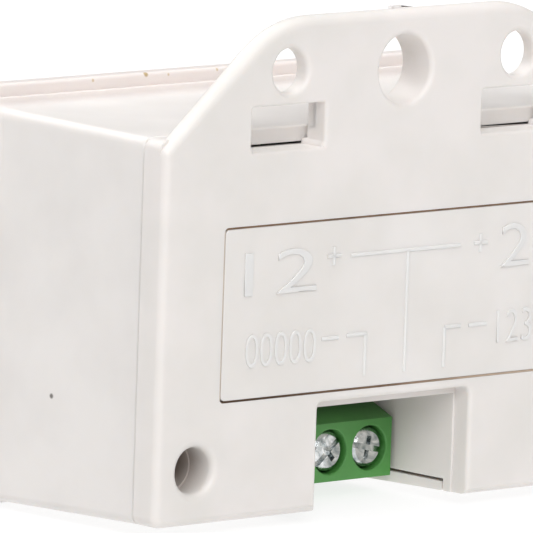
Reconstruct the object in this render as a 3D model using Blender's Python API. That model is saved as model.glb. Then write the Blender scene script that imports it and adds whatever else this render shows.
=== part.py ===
"""Back-flange battery counter: white moulded case with a three-pole screw terminal block.

The flanged back cover faces +Y, the display side faces -Y, +Z is up.
Depths are measured forward from the back cover's rear face.
Heights are measured up from the back cover's bottom edge.
"""
import math

import bmesh
import bpy
from mathutils import Vector

for old in list(bpy.data.objects):
    bpy.data.objects.remove(old, do_unlink=True)

mm = 0.001

# Clearances, and how far joined shapes and cutters run past each other
seat_gap = 0.3 * mm
seam_gap = 0.2 * mm
cover_gap = 0.2 * mm
thread_gap = 0.1 * mm
button_gap = 0.3 * mm
display_gap = 0.25 * mm
fuse = 0.1 * mm
overshoot = 2.0 * mm
fine_round = 0.15 * mm
small_round = 0.2 * mm

# Facets of round shapes
fine_facets = 40
thread_facets = 36
medium_facets = 32
screw_facets = 28
coarse_facets = 24
pin_facets = 20

# Back cover
plate_width = 59.6 * mm
plate_height = 36.1 * mm
plate_thickness = 1.8 * mm
plate_edge_round = 0.8 * mm
plate_corner_round = 1.1 * mm
rim_depth = 3.1 * mm
flange_height = 46.7 * mm
flange_corner_x = 16.2 * mm
flange_shoulder_drop = 1.0 * mm
flange_corner_round = 12.0 * mm
flange_back_round = 0.4 * mm
tongue_reach = 1.5 * mm
tongue_thickness = 1.0 * mm

# Flange holes and windows
side_hole_x = 14.5 * mm
side_hole_drop = 4.95 * mm
side_hole_radius = 2.25 * mm
middle_hole_drop = 5.6 * mm
middle_hole_radius = 3.35 * mm
middle_boss_depth = 4.2 * mm
middle_boss_wall = 1.25 * mm
hole_rim_round = 0.25 * mm
window_inner_x = 10.0 * mm
window_width = 9.15 * mm
window_height = 3.85 * mm
window_sink = 1.35 * mm
window_corner_round = 0.25 * mm
gate_bump_x = -0.6 * mm
gate_bump_length = 2.6 * mm
gate_bump_height = 0.3 * mm

# Battery cover, bay and cell
panel_height = 16.2 * mm
panel_rise = 0.95 * mm
panel_thickness = 1.5 * mm
panel_corner_round = 0.5 * mm
panel_edge_round = 0.12 * mm
panel_rib_offset = 4.5 * mm
panel_rib_thickness = 0.8 * mm
panel_rib_rise = 0.6 * mm
panel_rib_setback = 2.0 * mm
ledge_width = 1.35 * mm
pocket_width = 1.3 * mm
ledge_ring_wall = 1.2 * mm
ledge_ring_thickness = 1.2 * mm
bay_wall = 1.2 * mm
spring_room = 6.4 * mm
cell_front_room = 2.3 * mm
pocket_depth = 6.0 * mm
pocket_margin = 0.4 * mm
leg_width = 5.0 * mm
leg_length = 3.6 * mm
leg_offset = 3.6 * mm
cell_radius = 6.0 * mm
cell_length = 30.2 * mm
nub_radius = 2.0 * mm
nub_length = 0.9 * mm
cell_crimp = 0.4 * mm
contact_thickness = 0.4 * mm
contact_height = 8.0 * mm
contact_reach = 9.0 * mm
tail_width = 2.0 * mm
tail_proud = 0.8 * mm
spring_wire_radius = 0.28 * mm
spring_big_radius = 3.9 * mm
spring_small_radius = 2.4 * mm
spring_turns = 3.5

# Terminal notch and chamber
notch_half_width = 9.7 * mm
notch_height = 10.35 * mm
notch_edge_round = 0.45 * mm
notch_corner_round = 0.7 * mm
chamber_inset = 0.2 * mm
chamber_ceiling_drop = 0.85 * mm
chamber_start = 2.6 * mm
chamber_board_room = 1.2 * mm
chamber_wall = 1.1 * mm
chamber_wall_foot = 1.15 * mm

# Corner screw tubes and hooks
corner_hole_inset = 4.9 * mm
corner_hole_height = 5.1 * mm
corner_hole_radius = 2.3 * mm
corner_hole_round = 0.5 * mm
tube_wall = 0.55 * mm
tube_taper = 0.15 * mm
tube_end = 9.0 * mm
tube_floor = 1.5 * mm
screw_head_radius = 1.85 * mm
screw_head_height = 1.5 * mm
screw_shank_radius = 1.0 * mm
screw_shank_length = 9.0 * mm
hook_x = 14.5 * mm
hook_width = 4.4 * mm
hook_thickness = 1.0 * mm
hook_length = 6.8 * mm
hook_barb = 0.7 * mm
hook_barb_length = 0.8 * mm
hook_nose = 0.1 * mm
hook_drop = 0.15 * mm
catch_length = 1.1 * mm
post_gusset_thickness = 1.0 * mm
post_gusset_setback = 2.0 * mm

# Main housing
body_draft = 0.45 * mm
body_wall = 1.5 * mm
body_edge_round = 1.0 * mm
body_side_step = 0.2 * mm
shoulder_run = 1.0 * mm
shoulder_length = 0.9 * mm
lip_length = 4.4 * mm
lip_corner_round = 1.6 * mm
cavity_draft = 0.2 * mm
cavity_corner_round = 0.6 * mm
shoulder_rise = 0.85 * mm
shoulder_side = 0.95 * mm
shoulder_drop = 0.35 * mm
lip_rise = 2.05 * mm
lip_side = 1.95 * mm
lip_drop = 0.7 * mm
lip_back_round = 0.35 * mm
lip_front_round = 1.2 * mm
front_wall = 2.2 * mm

# Display stack and front openings
board_thickness = 1.6 * mm
board_bay_room = 4.0 * mm
board_side_room = 0.7 * mm
board_bottom_room = 0.9 * mm
board_top_room = 1.4 * mm
board_step = 7.0 * mm
board_corner_round = 0.5 * mm
board_foot_half_width = 21.0 * mm
lcd_width = 41.0 * mm
display_button_room = 1.8 * mm
display_top_room = 1.2 * mm
lcd_sheet = 1.1 * mm
lcd_ledge = 1.3 * mm
view_width = 35.0 * mm
view_margin = 2.8 * mm
view_corner_round = 0.8 * mm
lens_width = 45.4 * mm
lens_lap = 0.2 * mm
lens_thickness = 1.0 * mm
lens_corner_round = 1.5 * mm
strip_width = 1.6 * mm
strip_length = 38.0 * mm
strip_reach = 2.1 * mm
strip_inset = 1.2 * mm
display_rib_wall = 0.9 * mm
display_rib_setback = 0.5 * mm
front_fuse = 0.4 * mm
boss_side_inset = 2.8 * mm
boss_top_inset = 2.6 * mm
boss_foot_inset = 4.0 * mm
boss_radius = 2.2 * mm
board_screw_head_radius = 1.75 * mm
board_screw_head_height = 1.2 * mm
board_screw_radius = 0.85 * mm
board_screw_length = 5.0 * mm
screw_point = 0.8 * mm
screw_crown = 0.5 * mm
recess_width = 0.6 * mm
recess_span = 2.0 * mm
recess_depth = 0.6 * mm
blob_x = -9.0 * mm
blob_height = 20.5 * mm
blob_radius = 4.6 * mm
blob_rise = 1.3 * mm
blob_steps = 5

# Reset button
button_x = 16.0 * mm
button_height = 8.0 * mm
button_radius = 3.4 * mm
button_proud = 1.0 * mm
button_collar_radius = 4.2 * mm
button_collar_thickness = 0.45 * mm
button_travel = 0.4 * mm
switch_side = 6.0 * mm
switch_body_height = 3.3 * mm
plunger_radius = 1.7 * mm
plunger_proud = 0.6 * mm
plunger_sunk = 0.8 * mm
switch_corner_round = 0.4 * mm
button_edge_round = 0.4 * mm
button_dish = 0.4 * mm

# Terminal block
pole_pitch = 5.08 * mm
pole_count = 3
block_shift = -1.02 * mm
block_end_wall = 0.25 * mm
block_depth = 10.0 * mm
block_bottom = 0.6 * mm
block_face_height = 5.6 * mm
block_slope_rise = 1.2 * mm
block_slope_length = 3.0 * mm
screw_axis_height = 3.45 * mm
head_pocket_radius = 2.15 * mm
head_pocket_depth = 1.6 * mm
roof_thickness = 0.45 * mm
cavity_width = 4.1 * mm
cavity_floor_wall = 1.0 * mm
cavity_roof_wall = 0.9 * mm
entry_width = 3.3 * mm
entry_depth = 3.3 * mm
entry_setback = 5.4 * mm
clamp_head_radius = 1.85 * mm
clamp_head_sink = 0.3 * mm
clamp_head_height = 1.1 * mm
clamp_thread_radius = 1.25 * mm
clamp_edge = 0.3 * mm
cross_slot = 0.55 * mm
cross_depth = 0.55 * mm
cross_reach = 1.1 * mm
cage_width = 3.6 * mm
cage_top_rise = 1.85 * mm
cage_setback = 4.1 * mm
cage_length = 4.8 * mm
cage_near_wall = 0.7 * mm
cage_far_wall = 0.8 * mm
cage_side_wall = 0.5 * mm
pin_width = 1.8 * mm
pin_thickness = 0.7 * mm
pin_setback = 5.1 * mm
pin_leg_thickness = 0.6 * mm
pin_leg_width = 1.0 * mm
pin_leg_proud = 0.9 * mm

# Where everything sits
half_plate = plate_width / 2
bay_length = cell_length + spring_room
half_bay = bay_length / 2
pocket_inner = half_bay + ledge_ring_wall
pocket_outer = pocket_inner + pocket_width
half_panel = pocket_outer + ledge_width
leg_x = (pocket_inner + pocket_outer) / 2
leg_thickness = pocket_width - 2 * seat_gap
bay_depth = cell_front_room + 2 * cell_radius + seat_gap
bay_end = bay_depth + bay_wall
board_depth = bay_end + board_bay_room
board_front = board_depth + board_thickness
display_back = board_front + 2 * seat_gap + strip_reach
inner_front = display_back + 2 * lcd_sheet + seat_gap
front_depth = inner_front + front_wall
lip_depth = front_depth - lip_length
shoulder_depth = lip_depth - shoulder_length
shoulder_start = shoulder_depth - shoulder_run
button_front = front_depth + button_proud
rear_y = button_front / 2
foot_drop = lip_drop + body_draft

flange_shoulder_height = plate_height - flange_shoulder_drop
side_hole_height = flange_height - side_hole_drop
middle_hole_height = flange_height - middle_hole_drop
window_outer_x = window_inner_x + window_width
window_bottom = plate_height - window_sink
window_top = window_bottom + window_height
panel_bottom = notch_height + panel_rise
panel_top = panel_bottom + panel_height
middle_height = (panel_bottom + panel_top) / 2
bay_bottom = panel_bottom + ledge_width
bay_top = panel_top - ledge_width
corner_hole_x = half_plate - corner_hole_inset
tube_radius = corner_hole_radius + tube_wall
tube_inner_radius = corner_hole_radius - tube_taper
chamber_half_width = notch_half_width - chamber_inset
chamber_ceiling = notch_height - chamber_ceiling_drop
chamber_end = board_depth - chamber_board_room

rear_half = half_plate - body_side_step
front_half = rear_half + body_draft
cavity_top_inside = plate_height - body_wall
cavity_bottom_inside = body_wall
board_width = 2 * (rear_half - body_wall - board_side_room)
board_bottom = cavity_bottom_inside + board_bottom_room
board_shoulder = board_bottom + board_step
board_top = cavity_top_inside - board_top_room
boss_x = board_width / 2 - boss_side_inset
upper_boss_height = board_top - boss_top_inset
lower_boss_height = board_shoulder + boss_foot_inset
lcd_bottom = button_height + button_collar_radius + display_button_room
lcd_top = board_top - display_top_room
display_height = (lcd_bottom + lcd_top) / 2
view_bottom = lcd_bottom + view_margin
view_top = lcd_top - view_margin
lens_bottom = lcd_bottom - lens_lap
lens_top = lcd_top + lens_lap

block_length = pole_count * pole_pitch + 2 * block_end_wall
block_face_depth = board_depth - block_depth
block_slope_depth = block_face_depth + block_slope_length
block_face_top = block_bottom + block_face_height
block_top = block_face_top + block_slope_rise
cavity_bottom = block_bottom + cavity_floor_wall
cavity_top = block_top - cavity_roof_wall
entry_start = block_face_depth + entry_setback
cage_near = block_face_depth + cage_setback
cage_far = cage_near + cage_length
cage_bottom = cavity_bottom + seat_gap
cage_top = screw_axis_height + cage_top_rise
pin_near = block_face_depth + pin_setback
pin_leg_bottom = cage_top + seat_gap


def along(depth):
    """World Y of a depth measured forward from the cover's rear face."""
    return rear_y - depth


def up(height):
    """World Z of a height measured from the cover's bottom edge."""
    return foot_drop + height


# Shape helpers
def arc(centre, radius, start, end, steps):
    points = []
    for i in range(steps + 1):
        angle = math.radians(start + (end - start) * i / steps)
        points.append((centre[0] + radius * math.cos(angle), centre[1] + radius * math.sin(angle)))
    return points


def rounded_polygon(corners, radii, steps=5):
    """Counter-clockwise outline with each corner replaced by a tangent arc."""
    outline = []
    count = len(corners)
    for i in range(count):
        here = Vector(corners[i])
        before = (Vector(corners[i - 1]) - here).normalized()
        after = (Vector(corners[(i + 1) % count]) - here).normalized()
        if radii[i] <= 0:
            outline.append(tuple(here))
            continue
        half = before.angle(after) / 2
        reach = radii[i] / math.tan(half)
        centre = here + (before + after).normalized() * radii[i] / math.sin(half)
        first = here + before * reach - centre
        last = here + after * reach - centre
        sweep = math.pi - 2 * half
        turn = 1 if first.x * last.y - first.y * last.x > 0 else -1
        base = math.atan2(first.y, first.x)
        for k in range(steps + 1):
            angle = base + turn * sweep * k / steps
            outline.append((centre.x + radii[i] * math.cos(angle),
                            centre.y + radii[i] * math.sin(angle)))
    return outline


def rounded_box_outline(left, right, bottom, top, radius, steps=5):
    corners = [(left, bottom), (right, bottom), (right, top), (left, top)]
    return rounded_polygon(corners, [radius] * 4, steps)


def circle_outline(x, z, radius, steps=fine_facets):
    return arc((x, z), radius, 0, 360 - 360 / steps, steps - 1)


def grown(outline, distance):
    """The outline moved outward by distance (inward if negative)."""
    count = len(outline)
    moved = []
    for i in range(count):
        here = Vector(outline[i])
        before = (here - Vector(outline[i - 1])).normalized()
        after = (Vector(outline[(i + 1) % count]) - here).normalized()
        normal = Vector((before.y + after.y, -before.x - after.x)).normalized()
        spread = max(0.3, normal.dot(Vector((before.y, -before.x))))
        moved.append(tuple(here + normal * distance / spread))
    return moved


def solid(name, points, faces):
    mesh = bpy.data.meshes.new(name)
    work = bmesh.new()
    corners = [work.verts.new(p) for p in points]
    for face in faces:
        work.faces.new([corners[i] for i in face])
    bmesh.ops.recalc_face_normals(work, faces=work.faces)
    work.to_mesh(mesh)
    work.free()
    made = bpy.data.objects.new(name, mesh)
    bpy.context.collection.objects.link(made)
    return made


def loft(name, sections):
    """Closed solid through outlines (x, height), each at its own depth."""
    count = len(sections[0][1])
    points = []
    for depth, outline in sections:
        points += [(x, along(depth), up(height)) for x, height in outline]
    faces = [list(range(count)), list(range(len(points) - count, len(points)))]
    for level in range(len(sections) - 1):
        low = level * count
        for i in range(count):
            j = (i + 1) % count
            faces.append([low + i, low + j, low + count + j, low + count + i])
    return solid(name, points, faces)


def rounded_ends(near, far, near_round, far_round, sign, steps=4):
    """Depths and outline offsets of a bar whose two end edges are rounded."""
    stations = []
    for i in range(steps):
        angle = math.pi / 2 * i / steps
        if near_round > 0:
            stations.append((near + near_round * (1 - math.cos(angle)),
                             -sign * near_round * (1 - math.sin(angle))))
    stations.append((near + near_round, 0.0))
    stations.append((far - far_round, 0.0))
    for i in range(1, steps + 1):
        angle = math.pi / 2 * i / steps
        if far_round > 0:
            stations.append((far - far_round + far_round * math.sin(angle),
                             -sign * far_round * (1 - math.cos(angle))))
    return stations


def bar(name, outline, near, far, near_round=0.0, far_round=0.0):
    """Solid of an outline between two depths, with rounded end edges."""
    stations = rounded_ends(near, far, near_round, far_round, 1)
    return loft(name, [(depth, grown(outline, offset)) for depth, offset in stations])


def block(name, low, high):
    """Box between two (x, depth, height) corners."""
    outline = [(low[0], low[2]), (high[0], low[2]), (high[0], high[2]), (low[0], high[2])]
    return loft(name, [(low[1], outline), (high[1], outline)])


def tube(name, x, height, radius, near, far, steps=fine_facets):
    outline = circle_outline(x, height, radius, steps)
    return loft(name, [(near, outline), (far, outline)])


def combine(target, tool, operation):
    """Boolean of two solids; the tool is used up."""
    step = target.modifiers.new("fit", "BOOLEAN")
    step.operation = operation
    step.solver = "EXACT"
    step.object = tool
    bpy.context.view_layer.update()
    view = bpy.context.evaluated_depsgraph_get()
    mesh = bpy.data.meshes.new_from_object(target.evaluated_get(view))
    target.modifiers.remove(step)
    spent = target.data
    target.data = mesh
    bpy.data.meshes.remove(spent)
    bpy.data.objects.remove(tool, do_unlink=True)
    return target


def add(target, tool):
    return combine(target, tool, "UNION")


def cut(target, tool):
    return combine(target, tool, "DIFFERENCE")


def cut_opening(target, outline, near, far, near_round=0.0, far_round=0.0):
    """Opening through depths near to far, its rims rounded outward."""
    stations = rounded_ends(near, far, near_round, far_round, -1)
    first = stations[0]
    last = stations[-1]
    stations = [(first[0] - seat_gap, first[1])] + stations + [(last[0] + seat_gap, last[1])]
    return cut(target, loft("opening", [(depth, grown(outline, offset)) for depth, offset in stations]))


def lathe(name, profile, x, height, steps=fine_facets):
    """Round solid about a Y axis from (depth, radius) pairs, ends on the axis."""
    points = []
    faces = []
    rings = []
    for depth, radius in profile:
        if radius <= 0:
            rings.append([len(points)])
            points.append((x, along(depth), up(height)))
            continue
        rings.append(list(range(len(points), len(points) + steps)))
        for i in range(steps):
            angle = 2 * math.pi * i / steps
            points.append((x + radius * math.cos(angle), along(depth),
                           up(height) + radius * math.sin(angle)))
    for low, high in zip(rings, rings[1:]):
        for i in range(steps):
            j = (i + 1) % steps
            quad = [low[i % len(low)], low[j % len(low)], high[j % len(high)], high[i % len(high)]]
            faces.append(list(dict.fromkeys(quad)))
    return solid(name, points, faces)


def finish(made, name, colour, metallic, roughness, origin, smooth_angle=35):
    """Name, material, shading and origin of one finished piece."""
    made.name = name
    made.data.name = name
    centre = Vector(origin)
    for vertex in made.data.vertices:
        vertex.co -= centre
    made.location = centre
    paint = bpy.data.materials.new(name)
    paint.use_nodes = True
    shader = paint.node_tree.nodes["Principled BSDF"]
    shader.inputs["Base Color"].default_value = (*colour, 1.0)
    shader.inputs["Metallic"].default_value = metallic
    shader.inputs["Roughness"].default_value = roughness
    made.data.materials.clear()
    made.data.materials.append(paint)
    made.data.shade_smooth()
    made.data.set_sharp_from_angle(angle=math.radians(smooth_angle))
    return made


white_abs = (0.80, 0.78, 0.76)
green_pbt = (0.04, 0.24, 0.06)
zinc = (0.72, 0.72, 0.70)
tin = (0.66, 0.65, 0.62)
brass = (0.62, 0.50, 0.30)


# Back cover: one moulding
# Flanged plate with a butting rim, a locating tongue, the battery bay, the
# terminal chamber, two screw tubes and two hooks, all injection moulded in one.
flange_corners = [
    (-half_plate, 0.0),
    (half_plate, 0.0),
    (half_plate, flange_shoulder_height),
    (flange_corner_x, flange_height),
    (-flange_corner_x, flange_height),
    (-half_plate, flange_shoulder_height),
]
flange_radii = [
    plate_corner_round,
    plate_corner_round,
    plate_corner_round,
    flange_corner_round,
    flange_corner_round,
    plate_corner_round,
]
flange_outline = rounded_polygon(flange_corners, flange_radii, 8)
rear_cover = bar("rear_cover", flange_outline, 0.0, plate_thickness, plate_edge_round, flange_back_round)

rim_outline = rounded_box_outline(-half_plate, half_plate, 0.0, plate_height, plate_corner_round)
rim_start = plate_edge_round + fuse
add(rear_cover, bar("rim", rim_outline, rim_start, rim_depth, 0.0, fine_round))

tongue_half_width = rear_half - body_wall - seat_gap
tongue_bottom = cavity_bottom_inside + seat_gap
tongue_top = cavity_top_inside - seat_gap
tongue_outline = rounded_box_outline(-tongue_half_width, tongue_half_width, tongue_bottom, tongue_top,
                                     plate_corner_round)
add(rear_cover, bar("tongue", tongue_outline, plate_thickness / 2, rim_depth + tongue_reach, 0.0,
                    small_round))
cut_opening(rear_cover, grown(tongue_outline, -tongue_thickness), plate_thickness + seat_gap,
            rim_depth + tongue_reach)

middle_boss = tube("boss", 0.0, middle_hole_height, middle_hole_radius + middle_boss_wall,
                   plate_thickness / 2, middle_boss_depth)
add(rear_cover, middle_boss)

ring_half_width = half_panel + ledge_ring_wall
ring_bottom = notch_height
ring_top = panel_top + ledge_ring_wall
ring_end = plate_thickness + ledge_ring_thickness
add(rear_cover, block("ring", (-ring_half_width, plate_thickness / 2, ring_bottom),
                      (ring_half_width, ring_end, ring_top)))
add(rear_cover, block("bay", (-half_bay - bay_wall, plate_thickness, bay_bottom - bay_wall),
                      (half_bay + bay_wall, bay_end, bay_top + bay_wall)))
add(rear_cover, block("pockets", (-pocket_outer - bay_wall, plate_thickness, bay_bottom),
                      (pocket_outer + bay_wall, pocket_depth + bay_wall, bay_top)))

add(rear_cover, block("chamber", (-chamber_half_width - chamber_wall, plate_thickness / 2,
                                  chamber_wall_foot),
                      (chamber_half_width + chamber_wall, chamber_end, bay_bottom - bay_wall / 2)))

for side in (-1, 1):
    add(rear_cover, tube("tube", side * corner_hole_x, corner_hole_height, tube_radius,
                         plate_thickness / 2, tube_end))
    hook_left = side * hook_x - hook_width / 2
    hook_right = side * hook_x + hook_width / 2
    hook_top = tongue_top - tongue_thickness / 2 - hook_drop
    hook_end = plate_thickness + hook_length
    hook = [
        (plate_thickness / 2, hook_top - hook_thickness),
        (hook_end, hook_top - hook_thickness),
        (hook_end, hook_top + hook_nose),
        (hook_end - hook_barb_length, hook_top + hook_barb),
        (hook_end - hook_barb_length, hook_top),
        (plate_thickness / 2, hook_top),
    ]
    hook_points = [(x, along(d), up(h)) for x in (hook_left, hook_right) for d, h in hook]
    sides = len(hook)
    hook_faces = [list(range(sides)), list(range(sides, 2 * sides))]
    hook_faces += [[i, (i + 1) % sides, sides + (i + 1) % sides, sides + i] for i in range(sides)]
    add(rear_cover, solid("hook", hook_points, hook_faces))

# Openings in the cover
recess_outline = rounded_box_outline(-half_panel - cover_gap / 2, half_panel + cover_gap / 2,
                                     panel_bottom - cover_gap / 2, panel_top + cover_gap / 2,
                                     panel_corner_round)
cut_opening(rear_cover, recess_outline, 0.0, plate_thickness - seat_gap)
cut_opening(rear_cover, rounded_box_outline(-half_bay, half_bay, bay_bottom, bay_top, panel_corner_round),
            plate_thickness - seat_gap, bay_depth - seat_gap)
for side in (-1, 1):
    cut(rear_cover, block("pocket", (min(side * pocket_inner, side * pocket_outer), panel_thickness,
                                     bay_bottom + pocket_margin),
                          (max(side * pocket_inner, side * pocket_outer), pocket_depth,
                           bay_top - pocket_margin)))
    slot_x = side * (half_bay - contact_thickness)
    cut(rear_cover, block("slot", (slot_x - contact_thickness, bay_depth - seat_gap,
                                   middle_height - tail_width / 2 - seat_gap),
                          (slot_x + contact_thickness, bay_end + seat_gap,
                           middle_height + tail_width / 2 + seat_gap)))
    cut_opening(rear_cover, circle_outline(side * side_hole_x, side_hole_height, side_hole_radius),
                0.0, plate_thickness, hole_rim_round, hole_rim_round)
    window = rounded_box_outline(min(side * window_inner_x, side * window_outer_x),
                                 max(side * window_inner_x, side * window_outer_x),
                                 window_bottom, window_top, window_corner_round, 3)
    cut_opening(rear_cover, window, 0.0, rim_depth + tongue_reach, fine_round, 0.0)
    corner_circle = circle_outline(side * corner_hole_x, corner_hole_height, corner_hole_radius)
    cut_opening(rear_cover, corner_circle, 0.0, rim_depth, corner_hole_round, 0.0)
    cut(rear_cover, tube("bore", side * corner_hole_x, corner_hole_height, tube_inner_radius,
                         rim_depth, tube_end - tube_floor))
    cut(rear_cover, tube("pass", side * corner_hole_x, corner_hole_height, screw_shank_radius + seat_gap,
                         rim_depth, tube_end + seat_gap))
cut_opening(rear_cover, circle_outline(0.0, middle_hole_height, middle_hole_radius), 0.0,
            middle_boss_depth, hole_rim_round, hole_rim_round)
notch_outline = rounded_polygon(
    [(-notch_half_width, -plate_edge_round - overshoot), (notch_half_width, -plate_edge_round - overshoot),
     (notch_half_width, notch_height), (-notch_half_width, notch_height)],
    [0, 0, notch_corner_round, notch_corner_round])
cut_opening(rear_cover, notch_outline, 0.0, chamber_start - seat_gap, notch_edge_round, 0.0)
cut(rear_cover, block("chamber", (-chamber_half_width, chamber_start - 2 * seat_gap, -overshoot),
                      (chamber_half_width, chamber_end + seat_gap, chamber_ceiling)))
# Moulding gate's trimmed stub on the flange's top edge
bump = rounded_box_outline(gate_bump_x - gate_bump_length / 2, gate_bump_x + gate_bump_length / 2,
                           flange_height - plate_edge_round, flange_height + gate_bump_height,
                           small_round, 2)
add(rear_cover, bar("bump", bump, plate_edge_round, plate_thickness - flange_back_round))
finish(rear_cover, "rear_cover", white_abs, 0.0, 0.42, (0.0, along(0.0), up(0.0)))


# Battery cover
panel_outline = rounded_box_outline(-half_panel + cover_gap / 2, half_panel - cover_gap / 2,
                                    panel_bottom + cover_gap / 2, panel_top - cover_gap / 2,
                                    panel_corner_round)
battery_cover = bar("battery_cover", panel_outline, 0.0, panel_thickness, panel_edge_round, 0.0)
for side in (-1, 1):
    for level in (-1, 1):
        leg_middle = middle_height + level * leg_offset
        leg = rounded_box_outline(side * leg_x - leg_thickness / 2, side * leg_x + leg_thickness / 2,
                                  leg_middle - leg_width / 2, leg_middle + leg_width / 2, small_round, 2)
        add(battery_cover, bar("leg", leg, panel_thickness / 2, panel_thickness + leg_length, 0.0,
                               small_round))
rib_reach = half_bay - panel_rib_setback
for rib_height in (middle_height - panel_rib_offset, middle_height + panel_rib_offset):
    add(battery_cover, block("rib", (-rib_reach, panel_thickness / 2, rib_height - panel_rib_thickness / 2),
                             (rib_reach, panel_thickness + panel_rib_rise,
                              rib_height + panel_rib_thickness / 2)))
finish(battery_cover, "battery_cover", white_abs, 0.0, 0.45, (0.0, along(0.0), up(middle_height)))


# Battery cell and its contacts
cell_depth = bay_depth - seat_gap - cell_radius
positive_face = half_bay - contact_thickness - seat_gap
nub_tip = positive_face - seat_gap


def turned_about_x(name, profile, depth, height, steps=fine_facets):
    """Round solid about an X axis from (x, radius) pairs."""
    points = []
    rings = []
    for x, radius in profile:
        if radius <= 0:
            rings.append([len(points)])
            points.append((x, along(depth), up(height)))
            continue
        rings.append(list(range(len(points), len(points) + steps)))
        for i in range(steps):
            angle = 2 * math.pi * i / steps
            points.append((x, along(depth) + radius * math.cos(angle),
                           up(height) + radius * math.sin(angle)))
    faces = []
    for low, high in zip(rings, rings[1:]):
        for i in range(steps):
            j = (i + 1) % steps
            quad = [low[i % len(low)], low[j % len(low)], high[j % len(high)], high[i % len(high)]]
            faces.append(list(dict.fromkeys(quad)))
    return solid(name, points, faces)


cell_end = nub_tip - cell_length
cell_profile = [
    (cell_end, 0.0),
    (cell_end, cell_radius - 2 * cell_crimp),
    (cell_end + cell_crimp, cell_radius - cell_crimp),
    (cell_end + cell_crimp, cell_radius),
    (nub_tip - nub_length - cell_crimp, cell_radius),
    (nub_tip - nub_length, cell_radius - cell_crimp),
    (nub_tip - nub_length, nub_radius),
    (nub_tip - small_round, nub_radius),
    (nub_tip, nub_radius - small_round),
    (nub_tip, 0.0),
]
battery_cell = turned_about_x("battery_cell", cell_profile, cell_depth, middle_height)
finish(battery_cell, "battery_cell", (0.10, 0.11, 0.13), 0.6, 0.35,
       (0.0, along(cell_depth), up(middle_height)))

tail_end = board_front + tail_proud
for side, name in ((1, "positive_contact"), (-1, "negative_contact")):
    near_x = side * (half_bay - contact_thickness - seat_gap)
    far_x = side * (half_bay - seat_gap)
    low_x = min(near_x, far_x)
    high_x = max(near_x, far_x)
    contact = block(name, (low_x, cell_depth - contact_reach / 2, middle_height - contact_height / 2),
                    (high_x, cell_depth + contact_reach / 2, middle_height + contact_height / 2))
    add(contact, block("tail", (low_x, cell_depth, middle_height - tail_width / 2),
                       (high_x, tail_end, middle_height + tail_width / 2)))
    finish(contact, name, zinc, 1.0, 0.3, ((low_x + high_x) / 2, along(cell_depth), up(middle_height)))

spring_start = -positive_face + seat_gap + spring_wire_radius
spring_end = cell_end - seat_gap - spring_wire_radius
coil_points = []
coil_faces = []
coil_steps = 24
wire_sides = 8
turn_steps = round(spring_turns * coil_steps)
for i in range(turn_steps + 1):
    share = i / turn_steps
    angle = 2 * math.pi * i / coil_steps
    reach = spring_big_radius + (spring_small_radius - spring_big_radius) * share
    outward = Vector((0.0, math.cos(angle), math.sin(angle)))
    middle = Vector((spring_start + (spring_end - spring_start) * share, along(cell_depth),
                     up(middle_height)))
    middle += outward * reach
    for k in range(wire_sides):
        around = 2 * math.pi * k / wire_sides
        coil_points.append(middle + outward * spring_wire_radius * math.cos(around)
                           + Vector((1.0, 0.0, 0.0)) * spring_wire_radius * math.sin(around))
for i in range(turn_steps):
    for k in range(wire_sides):
        m = (k + 1) % wire_sides
        coil_faces.append([i * wire_sides + k, i * wire_sides + m,
                           (i + 1) * wire_sides + m, (i + 1) * wire_sides + k])
coil_faces.append(list(range(wire_sides)))
coil_faces.append(list(range(turn_steps * wire_sides, (turn_steps + 1) * wire_sides)))
battery_spring = solid("battery_spring", coil_points, coil_faces)
finish(battery_spring, "battery_spring", zinc, 1.0, 0.28,
       (spring_start, along(cell_depth), up(middle_height)), 60)


# Main housing: one moulding
# Drafted box with a two-step lip round the display face; it carries the board on
# four bosses, the display between locating ribs and the posts of the cover screws.
def housing_section(depth, rise, side, drop, radius):
    share = (depth - rim_depth) / (shoulder_start - rim_depth)
    share = min(1.0, max(0.0, share))
    half = rear_half + body_draft * share + side
    return depth, rounded_box_outline(-half, half, -body_draft * share - drop,
                                      plate_height + body_draft * share + rise, radius)


housing_start = rim_depth + seam_gap
fillet_steps = 4
sections = [housing_section(housing_start, -fine_round, -fine_round, -fine_round, body_edge_round)]
sections.append(housing_section(housing_start + fine_round, 0.0, 0.0, 0.0, body_edge_round))
sections.append(housing_section(shoulder_start, 0.0, 0.0, 0.0, body_edge_round))
for i in range(1, fillet_steps + 1):
    lift = 1 - math.cos(math.pi / 2 * i / fillet_steps)
    run = math.sin(math.pi / 2 * i / fillet_steps)
    sections.append(housing_section(shoulder_start + (shoulder_depth - shoulder_start) * run,
                                    shoulder_rise * lift, shoulder_side * lift, shoulder_drop * lift,
                                    body_edge_round))
sections.append(housing_section(lip_depth + lip_back_round, shoulder_rise, shoulder_side, shoulder_drop,
                                body_edge_round))
main_housing = loft("main_housing", sections)

lip_outline = rounded_box_outline(-front_half - lip_side, front_half + lip_side, -body_draft - lip_drop,
                                  plate_height + body_draft + lip_rise, lip_corner_round, 6)
add(main_housing, bar("lip", lip_outline, lip_depth, front_depth, lip_back_round, lip_front_round))

inner_rear_outline = rounded_box_outline(-rear_half + body_wall, rear_half - body_wall, cavity_bottom_inside,
                                         cavity_top_inside, cavity_corner_round)
cavity = loft("cavity", [(housing_start - seat_gap, inner_rear_outline),
                         (inner_front, grown(inner_rear_outline, -cavity_draft))])
cut(main_housing, cavity)

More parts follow.
